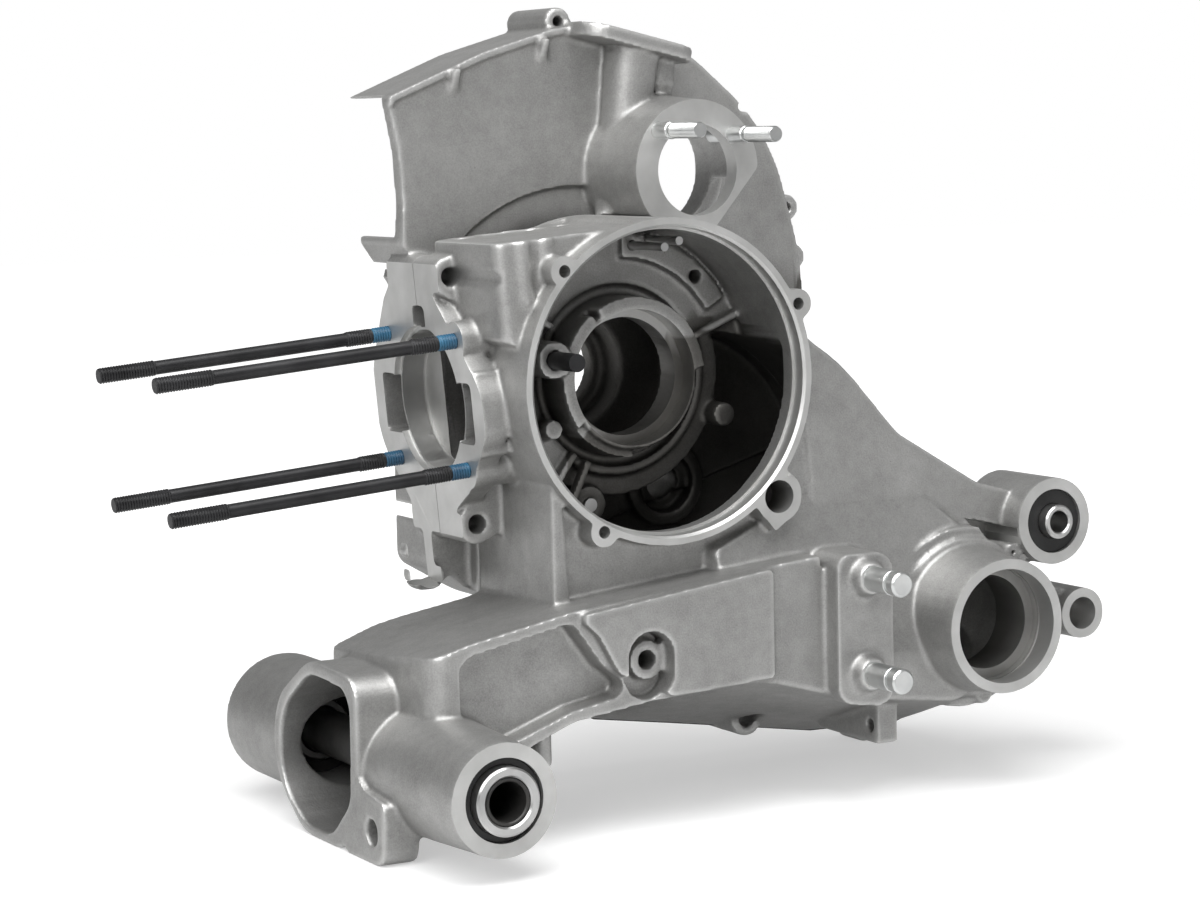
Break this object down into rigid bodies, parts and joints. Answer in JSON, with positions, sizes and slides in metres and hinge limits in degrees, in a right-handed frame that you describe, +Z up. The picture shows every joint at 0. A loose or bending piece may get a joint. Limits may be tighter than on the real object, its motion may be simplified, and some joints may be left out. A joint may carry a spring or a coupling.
{
  "type": "scooter engine crankcase",
  "caption": "Bare two-piece die-cast engine case with swing arm pivot, fan housing, cylinder studs, brake pins and rubber bushes.",
  "frame": {"origin": "crank axis in the machined face that takes the clutch cover", "axes": "+Y along the crank axis to the fan side, +Z up as the case stands, -X towards the cylinder"},
  "size_m": [0.4653, 0.2368, 0.3599],
  "materials": {
    "cast_aluminium": "matte as cast, joint faces machined",
    "black_steel": "black oxide",
    "zinc_steel": "bright zinc",
    "bright_steel": "turned",
    "dark_steel": "dull drawn tube",
    "rubber": "matte",
    "gasket_paper": "oiled paper"
  },
  "bodies": {
    "root": {"crankcase_half_clutch_side": "cast_aluminium", "crankcase_half_fan_side": "cast_aluminium", "case_gasket": "gasket_paper", "cylinder_stud_upper_near": "black_steel", "cylinder_stud_upper_far": "black_steel", "cylinder_stud_lower_near": "black_steel", "cylinder_stud_lower_far": "black_steel", "starter_stud_left": "zinc_steel", "starter_stud_right": "zinc_steel", "brake_pin_upper": "bright_steel", "brake_pin_lower": "bright_steel", "pivot_rubber_near": "rubber", "pivot_rubber_far": "rubber", "pivot_sleeve_near": "bright_steel", "pivot_sleeve_far": "bright_steel", "pivot_spacer_tube": "dark_steel", "shock_bush_rubber": "rubber", "shock_bush_sleeve": "bright_steel", "case_stud": "black_steel", "gallery_plug": "bright_steel", "guide_pin_left": "bright_steel", "guide_pin_right": "bright_steel", "case_dowel_rear": "bright_steel", "case_dowel_front": "bright_steel"}
  },
  "joints": []
}
